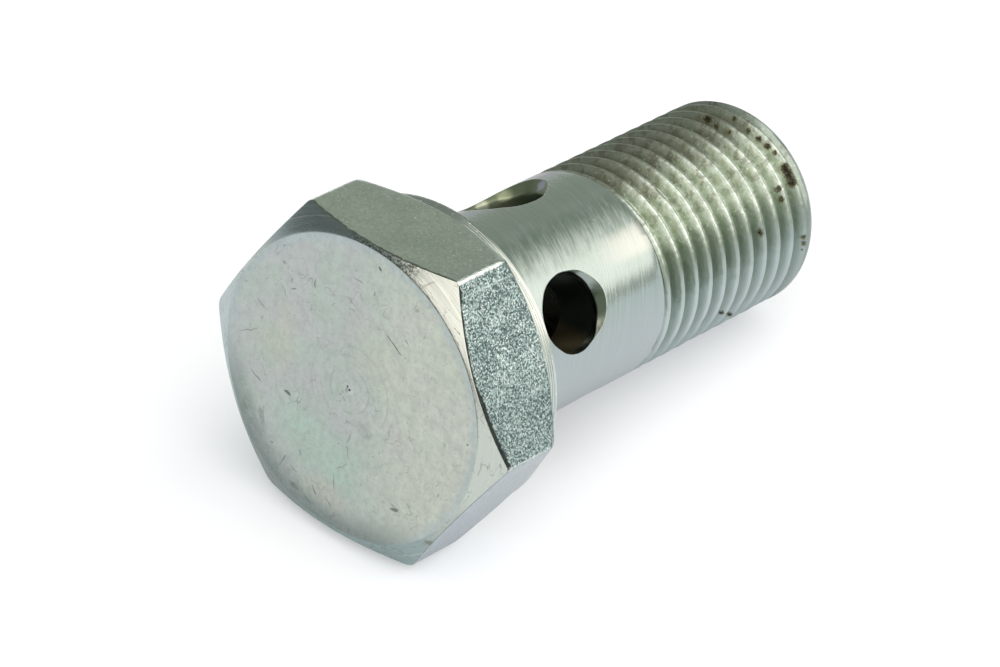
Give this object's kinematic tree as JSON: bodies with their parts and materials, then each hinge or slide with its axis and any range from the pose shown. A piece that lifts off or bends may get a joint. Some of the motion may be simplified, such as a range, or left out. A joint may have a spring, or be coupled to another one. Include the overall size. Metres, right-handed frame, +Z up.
{
  "type": "banjo bolt",
  "caption": "Hollow hexagon banjo bolt in zinc-plated steel, with a collared head, countersunk cross drillings through its plain shank and a parallel pipe thread to the tip.",
  "frame": {"origin": "on the ground, under the middle of the bolt as it lies on its side", "axes": "+X from the head towards the tip, +Z up; the bolt's own axis dips about 6 degrees below +X because it rests on the rear edge of one flat and on its tip"},
  "size_m": [0.0372, 0.022, 0.0195],
  "materials": {
    "zinc_plate": "clear zinc plating over turned steel, satin, with a faint green and pink passivation tint and small rust pits near the tip"
  },
  "bodies": {
    "root": {"banjo_bolt": "zinc_plate"}
  },
  "joints": []
}
